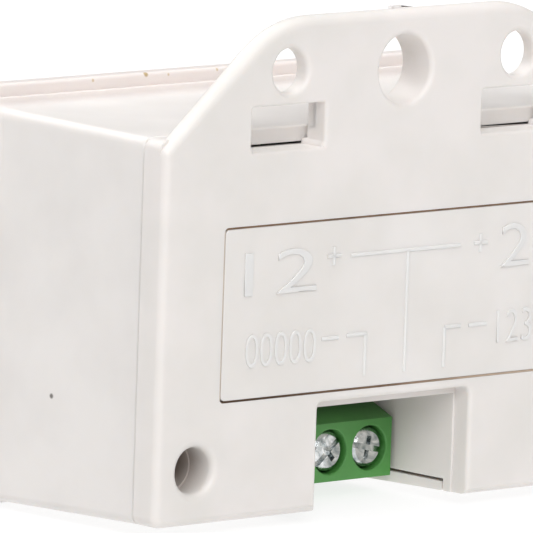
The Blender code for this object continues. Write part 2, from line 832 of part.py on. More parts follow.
post_start = tube_end + seat_gap
for side in (-1, 1):
    post_x = side * corner_hole_x
    add(main_housing, tube("post", post_x, corner_hole_height, tube_radius, post_start,
                           inner_front + front_fuse))
    wall_x = side * (rear_half - body_wall / 2)
    add(main_housing, block("gusset", (min(post_x, wall_x), post_start + post_gusset_setback,
                                       corner_hole_height - post_gusset_thickness / 2),
                            (max(post_x, wall_x), inner_front + front_fuse,
                             corner_hole_height + post_gusset_thickness / 2)))
    cut(main_housing, tube("pilot", post_x, corner_hole_height, screw_shank_radius + thread_gap,
                           post_start - seat_gap, post_start + screw_shank_length))
    for height in (upper_boss_height, lower_boss_height):
        add(main_housing, tube("boss", side * boss_x, height, boss_radius,
                               board_front + seat_gap, inner_front + front_fuse, medium_facets))
        cut(main_housing, tube("pilot", side * boss_x, height, board_screw_radius + thread_gap,
                               board_depth, inner_front - front_fuse, coarse_facets))
    # Catch rib under the top wall, which the cover's hook snaps behind
    catch_far = plate_thickness + hook_length - hook_barb_length - seat_gap
    add(main_housing, block("catch", (side * hook_x - hook_width / 2, catch_far - catch_length,
                                      hook_top + seat_gap),
                            (side * hook_x + hook_width / 2, catch_far, cavity_top_inside + body_wall / 2)))

# Locating ribs round the display glass
rib_outline = rounded_box_outline(-lcd_width / 2 - display_gap, lcd_width / 2 + display_gap,
                                  lcd_bottom - display_gap, lcd_top + display_gap, small_round, 3)
frame_rib = bar("ribs", grown(rib_outline, display_rib_wall), display_back + display_rib_setback,
                inner_front + front_fuse)
cut_opening(frame_rib, rib_outline, display_back, inner_front + 2 * front_fuse)
add(main_housing, frame_rib)

# Openings of the front wall and of the floor
view_outline = rounded_box_outline(-view_width / 2, view_width / 2, view_bottom, view_top,
                                   view_corner_round)
cut_opening(main_housing, view_outline, inner_front - seat_gap, front_depth + seat_gap)
lens_recess = rounded_box_outline(-lens_width / 2 - cover_gap, lens_width / 2 + cover_gap,
                                  lens_bottom - cover_gap, lens_top + cover_gap,
                                  lens_corner_round + cover_gap)
recess_floor = front_depth - lens_thickness - seat_gap
cut(main_housing, bar("recess", lens_recess, recess_floor, front_depth + seat_gap))
cut_opening(main_housing, circle_outline(button_x, button_height, button_radius + button_gap),
            inner_front - seat_gap, front_depth, 0.0, button_gap)
cut(main_housing, block("floor_cut", (-chamber_half_width, rim_depth - seat_gap, -body_draft - overshoot),
                        (chamber_half_width, board_depth, cavity_bottom_inside + seat_gap)))
# Rebate beside the floor opening, where the terminal chamber's walls stand
rebate_half_width = chamber_half_width + chamber_wall + seat_gap
cut(main_housing, block("rebate", (-rebate_half_width, rim_depth - seat_gap, chamber_wall_foot - seat_gap),
                        (rebate_half_width, chamber_end + seat_gap, cavity_bottom_inside + seat_gap)))
finish(main_housing, "main_housing", white_abs, 0.0, 0.42, (0.0, along(rim_depth), up(0.0)))


# Display window
lens_outline = rounded_box_outline(-lens_width / 2, lens_width / 2, lens_bottom, lens_top, lens_corner_round)
display_window = bar("display_window", lens_outline, front_depth - lens_thickness, front_depth, 0.0,
                     small_round)
finish(display_window, "display_window", (0.75, 0.80, 0.82), 0.0, 0.06,
       (0.0, along(front_depth), up(display_height)))


# Display glass and its rubber connectors
lcd_glass = block("lcd_glass", (-lcd_width / 2, display_back, lcd_bottom),
                  (lcd_width / 2, display_back + lcd_sheet + fuse, lcd_top))
add(lcd_glass, block("upper_sheet", (-lcd_width / 2, display_back + lcd_sheet, lcd_bottom + lcd_ledge),
                     (lcd_width / 2, display_back + 2 * lcd_sheet, lcd_top - lcd_ledge)))
finish(lcd_glass, "lcd_glass", (0.42, 0.47, 0.40), 0.0, 0.15,
       (0.0, along(display_back), up(display_height)))
for name, height in (("connector_strip_lower", lcd_bottom + strip_inset),
                     ("connector_strip_upper", lcd_top - strip_inset)):
    strip = rounded_box_outline(-strip_length / 2, strip_length / 2, height - strip_width / 2,
                                height + strip_width / 2, fine_round, 2)
    made = bar(name, strip, board_front + seat_gap, display_back - seat_gap)
    finish(made, name, (0.05, 0.05, 0.05), 0.0, 0.6, (0.0, along(board_front), up(height)))


# Circuit board
board_corners = [
    (-board_foot_half_width, board_bottom),
    (board_foot_half_width, board_bottom),
    (board_foot_half_width, board_shoulder),
    (board_width / 2, board_shoulder),
    (board_width / 2, board_top),
    (-board_width / 2, board_top),
    (-board_width / 2, board_shoulder),
    (-board_foot_half_width, board_shoulder),
]
circuit_board = bar("circuit_board", rounded_polygon(board_corners, [board_corner_round] * 8, 3),
                    board_depth, board_front)
for side in (-1, 1):
    for height in (upper_boss_height, lower_boss_height):
        cut(circuit_board, tube("hole", side * boss_x, height, board_screw_radius + seat_gap,
                                board_depth - seat_gap, board_front + seat_gap, coarse_facets))
    slot_x = side * (half_bay - seat_gap - contact_thickness / 2)
    cut(circuit_board, block("slot", (slot_x - contact_thickness, board_depth - seat_gap,
                                      middle_height - tail_width / 2 - seat_gap / 2),
                             (slot_x + contact_thickness, board_front + seat_gap,
                              middle_height + tail_width / 2 + seat_gap / 2)))
pole_centres = [block_shift + (i - (pole_count - 1) / 2) * pole_pitch for i in range(pole_count)]
pin_leg_middle = pin_leg_bottom + pin_leg_thickness / 2
for x in pole_centres:
    cut(circuit_board, tube("pin_hole", x, pin_leg_middle, pin_leg_width / 2 + seat_gap,
                            board_depth - seat_gap, board_front + seat_gap, pin_facets))
finish(circuit_board, "circuit_board", (0.05, 0.22, 0.10), 0.0, 0.4,
       (0.0, along(board_depth), up(board_bottom)))

blob_profile = [(board_depth - seat_gap, 0.0), (board_depth - seat_gap, blob_radius)]
for i in range(1, blob_steps + 1):
    angle = math.pi / 2 * i / blob_steps
    blob_profile.append((board_depth - seat_gap - blob_rise * math.sin(angle),
                         blob_radius * math.cos(angle)))
blob_profile[-1] = (board_depth - seat_gap - blob_rise, 0.0)
counter_chip = lathe("counter_chip", blob_profile, blob_x, blob_height)
finish(counter_chip, "counter_chip", (0.02, 0.02, 0.02), 0.0, 0.3,
       (blob_x, along(board_depth), up(blob_height)))


def pan_screw(name, x, height, seat, head_height, head_radius, shank_radius, shank_length):
    """Cross-recessed screw whose head bears on a seat and whose point goes forward."""
    head_top = seat - head_height
    profile = [
        (head_top, 0.0),
        (head_top, recess_span / 2),
        (head_top + screw_crown, head_radius),
        (seat, head_radius),
        (seat, shank_radius),
        (seat + shank_length - screw_point, shank_radius),
        (seat + shank_length, 0.0),
    ]
    made = lathe(name, profile, x, height, screw_facets)
    for across, tall in ((recess_width / 2, recess_span / 2), (recess_span / 2, recess_width / 2)):
        cut(made, block("cross", (x - across, head_top - seat_gap, height - tall),
                        (x + across, head_top + recess_depth, height + tall)))
    return made


screw_number = 0
for side in (1, -1):
    for height in (upper_boss_height, lower_boss_height):
        screw_number += 1
        made = pan_screw("board_screw", side * boss_x, height, board_depth - seat_gap,
                         board_screw_head_height, board_screw_head_radius, board_screw_radius,
                         board_screw_length)
        finish(made, "board_screw_%d" % screw_number, zinc, 1.0, 0.35,
               (side * boss_x, along(board_depth), up(height)))

# Cover screws, deep in the corner tubes
screw_seat = tube_end - tube_floor - seat_gap
for side, name in ((1, "cover_screw_left"), (-1, "cover_screw_right")):
    made = pan_screw(name, side * corner_hole_x, corner_hole_height, screw_seat, screw_head_height,
                     screw_head_radius, screw_shank_radius, screw_shank_length)
    finish(made, name, (0.25, 0.24, 0.22), 1.0, 0.4,
           (side * corner_hole_x, along(screw_seat), up(corner_hole_height)))


# Terminal block
# Green moulding, its screws facing back and its wire entries facing down; each
# pole holds a screw, a rising cage clamp and a bent pin soldered to the board.
block_end = board_depth - seat_gap
block_left = block_shift - block_length / 2
block_right = block_shift + block_length / 2
profile = [
    (block_face_depth, block_bottom),
    (block_end, block_bottom),
    (block_end, block_top),
    (block_slope_depth, block_top),
    (block_face_depth, block_face_top),
]
sides = len(profile)
profile_points = [(x, along(d), up(h)) for x in (block_left, block_right) for d, h in profile]
profile_faces = [list(range(sides)), list(range(sides, 2 * sides))]
profile_faces += [[i, (i + 1) % sides, sides + (i + 1) % sides, sides + i] for i in range(sides)]
terminal_block = solid("terminal_block", profile_points, profile_faces)
pocket_floor = block_face_depth + head_pocket_depth
cavity_start = pocket_floor + roof_thickness
for x in pole_centres:
    cut_opening(terminal_block, circle_outline(x, screw_axis_height, head_pocket_radius, medium_facets),
                block_face_depth, pocket_floor - seat_gap, fine_round, 0.0)
    cut(terminal_block, tube("pass", x, screw_axis_height, clamp_thread_radius + 2 * thread_gap,
                             block_face_depth, cavity_start + seat_gap, medium_facets))
    cut(terminal_block, block("cavity", (x - cavity_width / 2, cavity_start, cavity_bottom),
                              (x + cavity_width / 2, block_end + seat_gap, cavity_top)))
    cut(terminal_block, block("entry", (x - entry_width / 2, entry_start, block_bottom - seat_gap),
                              (x + entry_width / 2, entry_start + entry_depth, cavity_bottom + seat_gap)))
finish(terminal_block, "terminal_block", green_pbt, 0.0, 0.38,
       (block_shift, along(block_end), up(block_bottom)))

for number, x in enumerate(sorted(pole_centres, reverse=True), start=1):
    head_top = block_face_depth + clamp_head_sink
    head_base = head_top + clamp_head_height
    shank_end = cage_near + cage_near_wall
    profile = [
        (head_top, 0.0),
        (head_top, clamp_head_radius - clamp_edge),
        (head_top + small_round, clamp_head_radius),
        (head_base, clamp_head_radius),
        (head_base, clamp_thread_radius),
        (shank_end - clamp_edge, clamp_thread_radius),
        (shank_end, clamp_thread_radius - clamp_edge),
        (shank_end, 0.0),
    ]
    screw = lathe("terminal_screw", profile, x, screw_axis_height, thread_facets)
    for across, tall in ((2 * clamp_head_radius, cross_slot / 2), (cross_slot / 2, cross_reach)):
        cut(screw, block("slot", (x - across, head_top - seat_gap, screw_axis_height - tall),
                         (x + across, head_top + cross_depth, screw_axis_height + tall)))
    finish(screw, "terminal_screw_%d" % number, zinc, 1.0, 0.25, (x, along(head_top), up(screw_axis_height)))

    cage = block("wire_cage", (x - cage_width / 2, cage_near, cage_bottom),
                 (x + cage_width / 2, cage_far, cage_top))
    cut(cage, block("hollow", (x - cage_width / 2 + cage_side_wall, cage_near + cage_near_wall,
                               cage_bottom - seat_gap),
                    (x + cage_width / 2 - cage_side_wall, cage_far - cage_far_wall, cage_top + seat_gap)))
    cut(cage, tube("thread", x, screw_axis_height, clamp_thread_radius + thread_gap, cage_near - seat_gap,
                   cage_near + cage_near_wall + seat_gap, thread_facets))
    finish(cage, "wire_cage_%d" % number, brass, 1.0, 0.3, (x, along(cage_near), up(screw_axis_height)))

    pin = block("contact_pin", (x - pin_width / 2, pin_near, cage_bottom),
                (x + pin_width / 2, pin_near + pin_thickness, pin_leg_bottom + pin_leg_thickness))
    add(pin, block("leg", (x - pin_leg_width / 2, pin_near + pin_thickness / 2, pin_leg_bottom),
                   (x + pin_leg_width / 2, board_front + pin_leg_proud, pin_leg_bottom + pin_leg_thickness)))
    finish(pin, "contact_pin_%d" % number, tin, 1.0, 0.3, (x, along(pin_near), up(pin_leg_bottom)))


# Reset button and its switch
switch_back = board_front + seat_gap
switch_front = switch_back + switch_body_height
half_switch = switch_side / 2
switch_outline = rounded_box_outline(button_x - half_switch, button_x + half_switch,
                                     button_height - half_switch, button_height + half_switch,
                                     switch_corner_round, 3)
reset_switch = bar("reset_switch", switch_outline, switch_back, switch_front)
cut(reset_switch, tube("well", button_x, button_height, plunger_radius + thread_gap,
                       switch_front - plunger_sunk - button_travel - 2 * thread_gap,
                       switch_front + seat_gap, medium_facets))
finish(reset_switch, "reset_switch", (0.03, 0.03, 0.03), 0.0, 0.4,
       (button_x, along(switch_back), up(button_height)))

plunger_front = switch_front + plunger_proud
switch_plunger = tube("switch_plunger", button_x, button_height, plunger_radius,
                      switch_front - plunger_sunk, plunger_front, medium_facets)
finish(switch_plunger, "switch_plunger", (0.02, 0.02, 0.02), 0.0, 0.45,
       (button_x, along(plunger_front), up(button_height)))

button_back = plunger_front + seat_gap
collar_front = inner_front - seat_gap
profile = [
    (button_back, 0.0),
    (button_back, plunger_radius),
    (collar_front - button_collar_thickness, plunger_radius),
    (collar_front - button_collar_thickness, button_collar_radius),
    (collar_front, button_collar_radius),
    (collar_front, button_radius),
    (button_front - button_edge_round, button_radius),
    (button_front - button_edge_round / 4, button_radius - button_edge_round / 4),
    (button_front, button_radius - button_edge_round),
    (button_front - 3 * button_dish / 4, button_radius / 2),
    (button_front - button_dish, 0.0),
]
reset_button = lathe("reset_button", profile, button_x, button_height)
finish(reset_button, "reset_button", (0.35, 0.05, 0.04), 0.0, 0.4,
       (button_x, along(button_front), up(button_height)))
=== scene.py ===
import math

import bmesh
import bpy
from mathutils import Matrix, Vector


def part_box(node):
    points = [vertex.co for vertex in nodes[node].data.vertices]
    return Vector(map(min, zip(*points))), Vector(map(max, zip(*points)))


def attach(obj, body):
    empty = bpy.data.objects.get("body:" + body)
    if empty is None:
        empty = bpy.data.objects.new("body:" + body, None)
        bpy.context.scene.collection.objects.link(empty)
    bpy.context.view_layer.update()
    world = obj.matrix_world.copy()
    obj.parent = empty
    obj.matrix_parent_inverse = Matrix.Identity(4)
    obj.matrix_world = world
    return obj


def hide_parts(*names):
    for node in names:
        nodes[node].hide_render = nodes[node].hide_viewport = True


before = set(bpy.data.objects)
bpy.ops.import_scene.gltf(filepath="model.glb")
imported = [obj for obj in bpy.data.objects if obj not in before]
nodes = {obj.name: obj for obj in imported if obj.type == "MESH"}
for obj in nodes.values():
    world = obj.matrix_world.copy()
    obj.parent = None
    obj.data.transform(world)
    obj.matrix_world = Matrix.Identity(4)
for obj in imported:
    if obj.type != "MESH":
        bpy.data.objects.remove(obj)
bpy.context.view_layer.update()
scene = bpy.context.scene

# Main housing.
# One ABS injection moulding: a drafted box with a stepped lip round the display end.
# Everything else is carried inside it, and the back cover closes its open end.
mm = 0.001
hair = 0.001 * mm
cover_face = 14.9 * mm


def linear(hex_colour):
    """sRGB hex to the linear colour that a shader takes."""
    channels = [int(hex_colour[i:i + 2], 16) / 255 for i in (1, 3, 5)]
    return tuple(c / 12.92 if c <= 0.04045 else ((c + 0.055) / 1.055) ** 2.4 for c in channels) + (1.0,)


def add_node(tree, kind, inputs=None, stops=None, **settings):
    """One node with its properties, its input values or links, and its ramp's stops."""
    made = tree.nodes.new("ShaderNode" + kind)
    for name, value in settings.items():
        setattr(made, name, value)
    for name, value in (inputs or {}).items():
        if isinstance(value, bpy.types.NodeSocket):
            tree.links.new(value, made.inputs[name])
        else:
            made.inputs[name].default_value = value
    for i, (position, hex_colour) in enumerate(stops or []):
        stop = made.color_ramp.elements[i] if i < 2 else made.color_ramp.elements.new(position)
        stop.position = position
        stop.color = linear(hex_colour)
    return made


def noise(tree, place, scale, detail=2.0, distortion=0.0):
    """Noise over the piece: at a scale of 1000, its lumps are about a millimetre wide."""
    return add_node(tree, "TexNoise", {"Vector": place, "Scale": scale, "Detail": detail,
                                       "Distortion": distortion}).outputs["Fac"]


def two_tone(tree, value, low, dark, high, light):
    """Colour that turns from dark to light as the value goes from low to high."""
    return add_node(tree, "ValToRGB", {"Fac": value}, [(low, dark), (high, light)]).outputs["Color"]


def between(tree, value, low, high):
    """The value's nought to one, stretched over low to high."""
    return add_node(tree, "MapRange", {"Value": value, "To Min": low, "To Max": high}).outputs["Result"]


def bump(tree, height, strength, distance, under=None):
    """The normal of a rough surface, laid over the one under it where there is one."""
    inputs = {"Height": height, "Strength": strength, "Distance": distance}
    if under is not None:
        inputs["Normal"] = under
    return add_node(tree, "Bump", inputs).outputs["Normal"]


def axes_of(tree, place):
    return add_node(tree, "SeparateXYZ", {"Vector": place}).outputs


def new_piece(name, data):
    piece = bpy.data.objects.new(name, data)
    scene.collection.objects.link(piece)
    return piece


def new_material(name):
    material = bpy.data.materials.new(name)
    material.use_nodes = True
    tree = material.node_tree
    tree.nodes.clear()
    place = add_node(tree, "TexCoord").outputs["Object"]
    return material, tree, place


def close_material(tree, shader):
    output = add_node(tree, "OutputMaterial")
    tree.links.new(shader.outputs[0], output.inputs["Surface"])


def dress(piece, material):
    piece.data.materials.clear()
    piece.data.materials.append(material)


def moulding(node):
    """A new piece on a node's form, and its open mesh, to be given the real one's softer edges."""
    piece = new_piece(node + "_moulding", bpy.data.meshes.new(node + "_moulding"))
    work = bmesh.new()
    work.from_mesh(nodes[node].data)
    bmesh.ops.remove_doubles(work, verts=work.verts, dist=hair)
    return piece, work


def flat_normals(mesh, wide_area=12.0 * mm * mm):
    """Shades each corner that touches a wide flat face with that face's own normal."""
    area = {}
    planes = []
    for face in mesh.polygons:
        normal = face.normal
        plane = (round(normal.x, 2), round(normal.y, 2), round(normal.z, 2),
                 round(normal.dot(face.center) / mm, 1))
        planes.append((plane, normal.copy()))
        area[plane] = area.get(plane, 0.0) + face.area
    wide = {}
    for face, (plane, normal) in zip(mesh.polygons, planes):
        if area[plane] > wide_area:
            for vertex in face.vertices:
                wide.setdefault(vertex, []).append(normal)
    corners = []
    for loop, corner in zip(mesh.loops, mesh.corner_normals):
        vector = corner.vector.copy()
        near = [n for n in wide.get(loop.vertex_index, ()) if n.dot(vector) > 0.8]
        corners.append(max(near, key=vector.dot) if near else vector)
    mesh.normals_split_custom_set(corners)


def close_moulding(piece, work, material, node):
    """Finishes the new piece and puts it in the node's place."""
    work.to_mesh(piece.data)
    work.free()
    if "custom_normal" in piece.data.attributes:
        piece.data.attributes.remove(piece.data.attributes["custom_normal"])
    piece.data.shade_smooth()
    piece.data.set_sharp_from_angle(angle=math.radians(35))
    flat_normals(piece.data)
    dress(piece, material)
    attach(piece, "case")
    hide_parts(node)


def moulded_plastic(name, light, dark, roughness):
    """Moulded plastic: cloudy colour, fine spark-eroded grain, and faint flow ripples."""
    material, tree, place = new_material(name)
    cloud = noise(tree, place, 110.0, 3.0)
    grain = noise(tree, place, 4200.0)
    ripple = noise(tree, place, 420.0, 1.0)
    fine = bump(tree, grain, 0.35, 0.02 * mm)
    shader = add_node(tree, "BsdfPrincipled", {
        "Base Color": two_tone(tree, cloud, 0.36, dark, 0.64, light), "IOR": 1.53,
        "Roughness": between(tree, grain, roughness - 0.06, roughness + 0.06),
        "Normal": bump(tree, ripple, 0.2, 0.03 * mm, fine)})
    close_material(tree, shader)
    return material, tree, place, shader


def white_abs(name, light, dark, roughness):
    """White ABS lets a little light in, which softens its rims and thin walls."""
    material, tree, place, shader = moulded_plastic(name, light, dark, roughness)
    shader.inputs["Subsurface Weight"].default_value = 0.3
    shader.inputs["Subsurface Scale"].default_value = 1.0 * mm
    shader.inputs["Subsurface Radius"].default_value = (1.0, 0.85, 0.7)
    return material, tree, place, shader


def stain(tree, shader, mask, hex_colour):
    """Tints the base colour where the mask is one."""
    base = shader.inputs["Base Color"].links[0].from_socket
    mix = add_node(tree, "Mix", {"Factor": mask}, data_type="RGBA")
    tree.links.new(base, mix.inputs[6])
    mix.inputs[7].default_value = linear(hex_colour)
    tree.links.new(mix.outputs[2], shader.inputs["Base Color"])


def spot(tree, place, centre, radius, strength):
    """Mask of a small round speck, its edge fading outward."""
    away = add_node(tree, "VectorMath", {0: place, 1: centre}, operation="DISTANCE").outputs["Value"]
    return add_node(tree, "MapRange", {
        "Value": away, "From Min": 0.5 * radius, "From Max": radius, "To Min": strength,
        "To Max": 0.0}).outputs["Result"]


def ramp(tree, value, start, end, strength=1.0):
    """Mask that rises from nought at start to strength at end."""
    return add_node(tree, "MapRange", {"Value": value, "From Min": start, "From Max": end,
                                       "To Max": strength}).outputs["Result"]


def math_node(tree, operation, *values):
    return add_node(tree, "Math", dict(enumerate(values)), operation=operation).outputs["Value"]


housing_abs, tree, place, shader = white_abs("housing_white_abs", "#E2DEDB", "#DCD8D5", 0.42)
axes = axes_of(tree, place)
on_top = ramp(tree, axes["Z"], 36.6 * mm, 37.1 * mm)
on_lip = ramp(tree, axes["Y"], -7.6 * mm, -8.6 * mm, 0.4)
stain(tree, shader, math_node(tree, "MULTIPLY", on_top, on_lip), "#F1E4E0")
speck_places = [
    ((29.8, 0.1, 11.7), 0.32, "#5E5853"),
    ((10.7, -9.6, 39.6), 0.34, "#B59B6B"),
    ((17.4, -9.6, 39.4), 0.22, "#C9B48E"),
    ((7.9, -9.6, 39.4), 0.2, "#CBB68F"),
    ((1.7, -9.6, 39.5), 0.2, "#C9B48E"),
]
for centre, radius, colour in speck_places:
    stain(tree, shader, spot(tree, place, [c * mm for c in centre], radius * mm, 0.9), colour)

# The lip's front edge falls away in a long soft curve, where the node has a plain rounding.
lip_half_width = 32.0 * mm
lip_top = 39.75 * mm
lip_corner = 1.6 * mm
plain_round = 1.2 * mm
plain_start = 27.6 * mm
soft_start = 25.4 * mm
soft_run = 3.4 * mm
soft_drop = 1.5 * mm
on_edge = 0.3 * mm
housing, work = moulding("main_housing")
for vertex in work.verts:
    depth = cover_face - vertex.co.y
    core = Vector((max(lip_corner - lip_half_width, min(lip_half_width - lip_corner, vertex.co.x)),
                   vertex.co.y, max(lip_corner, min(lip_top - lip_corner, vertex.co.z))))
    out = vertex.co - core
    if depth > plain_start - 10 * hair and out.length > on_edge:
        reach = lip_corner + (out.length - lip_corner) * soft_drop / plain_round
        vertex.co = core + out.normalized() * reach
        vertex.co.y = cover_face - soft_start - (depth - plain_start) * soft_run / plain_round
close_moulding(housing, work, housing_abs, "main_housing")

# Display window.
# A clear acrylic pane with fine scuffs from wiping.
# It is let in flush with the front wall and glued round its edge.
pane, tree, place = new_material("clear_acrylic_pane")
scuff = noise(tree, place, 900.0, 6.0, 1.5)
haze = add_node(tree, "MapRange", {"Value": scuff, "From Min": 0.45, "From Max": 0.8,
                                   "To Min": 0.03, "To Max": 0.14})
shader = add_node(tree, "BsdfPrincipled", {
    "Base Color": linear("#F2F6F7"), "Roughness": haze.outputs["Result"], "IOR": 1.49,
    "Transmission Weight": 1.0, "Normal": bump(tree, scuff, 0.04, 0.01 * mm)})
close_material(tree, shader)
dress(nodes["display_window"], pane)

# Display glass.
# Two glass sheets with the liquid crystal between them, and a grey-green polariser on the front.
# Five seven-bar figures show the count.
glass, tree, place = new_material("display_polariser")
dust = noise(tree, place, 1500.0, 3.0)
shader = add_node(tree, "BsdfPrincipled", {
    "Base Color": two_tone(tree, dust, 0.3, "#8F9A84", 0.7, "#A3AD97"), "IOR": 1.5,
    "Roughness": between(tree, dust, 0.18, 0.3)})
close_material(tree, shader)
dress(nodes["lcd_glass"], glass)

figure_height = 8.6 * mm
figure_width = 4.7 * mm
figure_pitch = 6.5 * mm
bar_width = 0.95 * mm
bar_gap = 0.12 * mm
figure_middle = 24.15 * mm
figures_shown = 5
bar_sink = 0.02 * mm
bar_thickness = 0.04 * mm
glass_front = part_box("lcd_glass")[0][1]


def display_bars(name, lit, colour):
    """Flat six-sided bars of the figures, just proud of the glass."""
    mesh = bpy.data.meshes.new(name)
    work = bmesh.new()
    half_h = figure_height / 2
    half_w = figure_width / 2
    bars = {"a": (0, half_h, 0), "g": (0, 0, 0), "d": (0, -half_h, 0), "f": (-half_w, half_h / 2, 1),
            "b": (half_w, half_h / 2, 1), "e": (-half_w, -half_h / 2, 1), "c": (half_w, -half_h / 2, 1)}
    for figure in range(figures_shown):
        middle_x = (figure - 2) * figure_pitch
        for key in lit[figure]:
            x, z, upright = bars[key]
            reach = (half_h if upright else figure_width) / 2 - bar_gap
            width = bar_width / 2
            corners = [(-reach, 0), (width - reach, width), (reach - width, width), (reach, 0),
                       (reach - width, -width), (width - reach, -width)]
            ring = []
            for a, b in corners:
                across, tall = (b, a) if upright else (a, b)
                ring.append(work.verts.new((middle_x + x + across, glass_front - bar_sink,
                                            figure_middle + z + tall)))
            sheet = work.faces.new(ring)
            grown = bmesh.ops.extrude_face_region(work, geom=[sheet])["geom"]
            for vertex in [g for g in grown if isinstance(g, bmesh.types.BMVert)]:
                vertex.co.y += bar_thickness
    bmesh.ops.recalc_face_normals(work, faces=work.faces)
    work.to_mesh(mesh)
    work.free()
    piece = new_piece(name, mesh)
    ink, tree, place = new_material(name + "_ink")
    mottle = noise(tree, place, 2500.0)
    shader = add_node(tree, "BsdfPrincipled", {
        "Base Color": two_tone(tree, mottle, 0.3, colour[0], 0.7, colour[1]), "Roughness": 0.35,
        "IOR": 1.5})
    close_material(tree, shader)
    dress(piece, ink)
    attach(piece, "case")


display_bars("count_figures", ["abcdef"] * figures_shown, ("#23271F", "#2C3127"))
display_bars("resting_bars", ["g"] * figures_shown, ("#838D79", "#8A9480"))

# Connector strips.
# Silicone rubber strips of fine conducting layers, pinched between the board and the display glass.
strip, tree, place = new_material("layered_rubber")
layers = add_node(tree, "TexWave", {"Vector": place, "Scale": 1600.0, "Distortion": 0.4},
                  bands_direction="X").outputs["Fac"]
shader = add_node(tree, "BsdfPrincipled", {
    "Base Color": two_tone(tree, layers, 0.4, "#17181A", 0.6, "#4A4440"), "Roughness": 0.7,
    "IOR": 1.41, "Normal": bump(tree, layers, 0.3, 0.02 * mm)})
close_material(tree, shader)
dress(nodes["connector_strip_lower"], strip)
dress(nodes["connector_strip_upper"], strip)

# Reset button.
# A round moulded cap, held behind the front wall by its collar.
# It stands on the switch's plunger, and its face is rubbed a little paler.
cap, tree, place, shader = moulded_plastic("red_button_plastic", "#9A2C25", "#8E2620", 0.38)
axes = axes_of(tree, place)
stain(tree, shader, ramp(tree, axes["Y"], -14.55 * mm, -14.85 * mm, 0.35), "#B04A42")
dress(nodes["reset_button"], cap)

# Tact switch.
# A black thermoplastic body soldered to the board, with a plunger under the button cap.
black = moulded_plastic("black_switch_plastic", "#262627", "#1C1C1D", 0.4)[0]
dress(nodes["reset_switch"], black)
plunger_black = moulded_plastic("plunger_plastic", "#2B2A2A", "#202020", 0.45)[0]
dress(nodes["switch_plunger"], plunger_black)

# Circuit board.
# Glass-epoxy laminate under green solder resist, with copper tracks that show as paler lines.
# Its four screws hold it to posts in the main housing.
board, tree, place = new_material("green_board_laminate")
turned = add_node(tree, "Mapping", {"Vector": place, "Rotation": (math.radians(90), 0.0, 0.0)})
tracks = add_node(tree, "TexBrick", {
    "Vector": turned.outputs["Vector"], "Scale": 250.0, "Mortar Size": 0.045, "Mortar Smooth": 0.3,
    "Color1": linear("#14401F"), "Color2": linear("#174726"), "Mortar": linear("#2A6A3A")}, offset=0.35)
weave = add_node(tree, "TexWave", {"Vector": place, "Scale": 900.0, "Distortion": 0.5})
relief = bump(tree, tracks.outputs["Fac"], 0.5, 0.035 * mm)
shader = add_node(tree, "BsdfPrincipled", {
    "Base Color": tracks.outputs["Color"], "Roughness": 0.35, "IOR": 1.5,
    "Normal": bump(tree, weave.outputs["Fac"], 0.08, 0.01 * mm, relief)})
close_material(tree, shader)
dress(nodes["circuit_board"], board)

# Counter chip.
# The bare chip sits under a drop of black epoxy, poured on the board and cured.
drop, tree, place = new_material("black_epoxy_drop")
lumps = noise(tree, place, 500.0)
shader = add_node(tree, "BsdfPrincipled", {
    "Base Color": two_tone(tree, lumps, 0.3, "#101011", 0.7, "#1B1B1C"), "Roughness": 0.25,
    "IOR": 1.55, "Normal": bump(tree, lumps, 0.4, 0.05 * mm)})
close_material(tree, shader)
dress(nodes["counter_chip"], drop)

# Board screws.
# Four pan-head self-tapping screws, bright zinc on steel, with a cross recess.
# They hold the board to the housing's posts.


def plated_steel(name, light, dark, roughness, streak_scale=2600.0):
    """Bright plating: streaky polish lines, small pits and a slightly uneven gloss."""
    material, tree, place = new_material(name)
    streak = noise(tree, place, streak_scale, 4.0, 1.2)
    dents = noise(tree, place, 700.0)
    fine = bump(tree, streak, 0.5, 0.02 * mm)
    shader = add_node(tree, "BsdfPrincipled", {
        "Base Color": two_tone(tree, streak, 0.3, dark, 0.7, light), "Metallic": 1.0,
        "Roughness": between(tree, streak, roughness - 0.08, roughness + 0.12),
        "Normal": bump(tree, dents, 0.6, 0.12 * mm, fine)})
    close_material(tree, shader)
    return material


zinc = plated_steel("bright_zinc_screws", "#CFD0CE", "#A9AAA8", 0.28)
for number in (1, 2, 3, 4):
    dress(nodes["board_screw_%d" % number], zinc)

# Battery contacts and spring.
# Nickel-plated strip and spring wire; their tails pass through the bay's end wall to the board.
nickel = plated_steel("nickel_contact_strip", "#D2CEC4", "#B4AFA4", 0.24)
for name in ("positive_contact", "negative_contact", "battery_spring"):
    dress(nodes[name], nickel)

# Terminal block.
# A three-pole housing moulded in green polyester, soldered to the board's lower edge.
# Its screws face back through the notch and its wire entries face down.
block, tree, place, shader = moulded_plastic("green_terminal_polyester", "#4E9245", "#46863E", 0.42)
axes = axes_of(tree, place)
# Painted shade: the block's top from 7.6 mm up is painted dark green, for the shade under the notch's
# ceiling.
stain(tree, shader, ramp(tree, axes["Z"], 7.6 * mm, 8.6 * mm, 0.8), "#1D4A1C")
dress(nodes["terminal_block"], block)

# Contact pins.
# Bent tinned brass pins, one under each clamp, soldered through the board.
tin = plated_steel("tinned_brass_pins", "#C9C6BE", "#A8A49A", 0.3)
for number in (1, 2, 3):
    dress(nodes["contact_pin_%d" % number], tin)

# Wire cages.
# Folded brass clamps that the terminal screws draw up against the pins.
cage_brass = plated_steel("nickel_flashed_brass", "#CDBB86", "#A8935C", 0.3)
for number in (1, 2, 3):
    dress(nodes["wire_cage_%d" % number], cage_brass)

